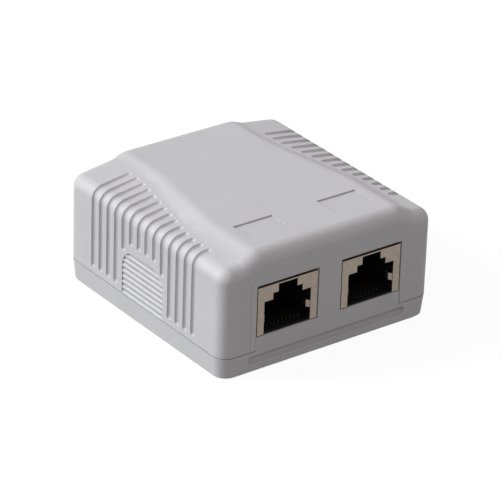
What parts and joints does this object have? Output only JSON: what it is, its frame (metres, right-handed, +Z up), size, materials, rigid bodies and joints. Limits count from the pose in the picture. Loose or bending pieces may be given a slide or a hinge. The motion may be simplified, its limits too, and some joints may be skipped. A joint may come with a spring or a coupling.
{
  "type": "surface mount jack box",
  "caption": "Low wall box with a clip-fitted louvred cover, holding a pair of shielded modular plug sockets on a board with wiring blocks and cable saddles.",
  "frame": {"origin": "middle of the underside, at the bottom of the base", "axes": "+Z up away from the mounting surface, -Y towards the front with the plug sockets, +X along the front to the right as seen from the front"},
  "size_m": [0.0544, 0.0564, 0.0273],
  "materials": {
    "case_plastic": "fine matt moulded ABS, light grey-white",
    "nickel_shield": "dull nickel-plated stamped sheet",
    "jack_plastic": "black moulded plastic",
    "gold_contact": "gold-plated spring wire",
    "tinned_contact": "tinned bronze blade",
    "board_laminate": "green glass-epoxy laminate with solder mask",
    "block_plastic": "off-white moulded plastic",
    "plated_steel": "zinc-plated steel"
  },
  "bodies": {
    "base": {"base": "case_plastic", "circuit_board": "board_laminate", "wiring_block_front": "block_plastic", "wiring_block_rear": "block_plastic", "wiring_contacts_front": "tinned_contact", "wiring_contacts_rear": "tinned_contact", "earth_bar": "plated_steel", "cable_saddle_left": "plated_steel", "cable_saddle_right": "plated_steel", "saddle_screws": "plated_steel", "board_screw": "plated_steel", "jack_shield_left": "nickel_shield", "jack_housing_left": "jack_plastic", "contact_carrier_left": "jack_plastic", "jack_contacts_left": "gold_contact", "jack_shield_right": "nickel_shield", "jack_housing_right": "jack_plastic", "contact_carrier_right": "jack_plastic", "jack_contacts_right": "gold_contact"},
    "cover": {"cover": "case_plastic"}
  },
  "joints": [
    {"name": "cover_lift", "type": "slide", "parent": "base", "child": "cover", "axis": [0, 0, 1], "range_m": [0, 0.03]}
  ]
}
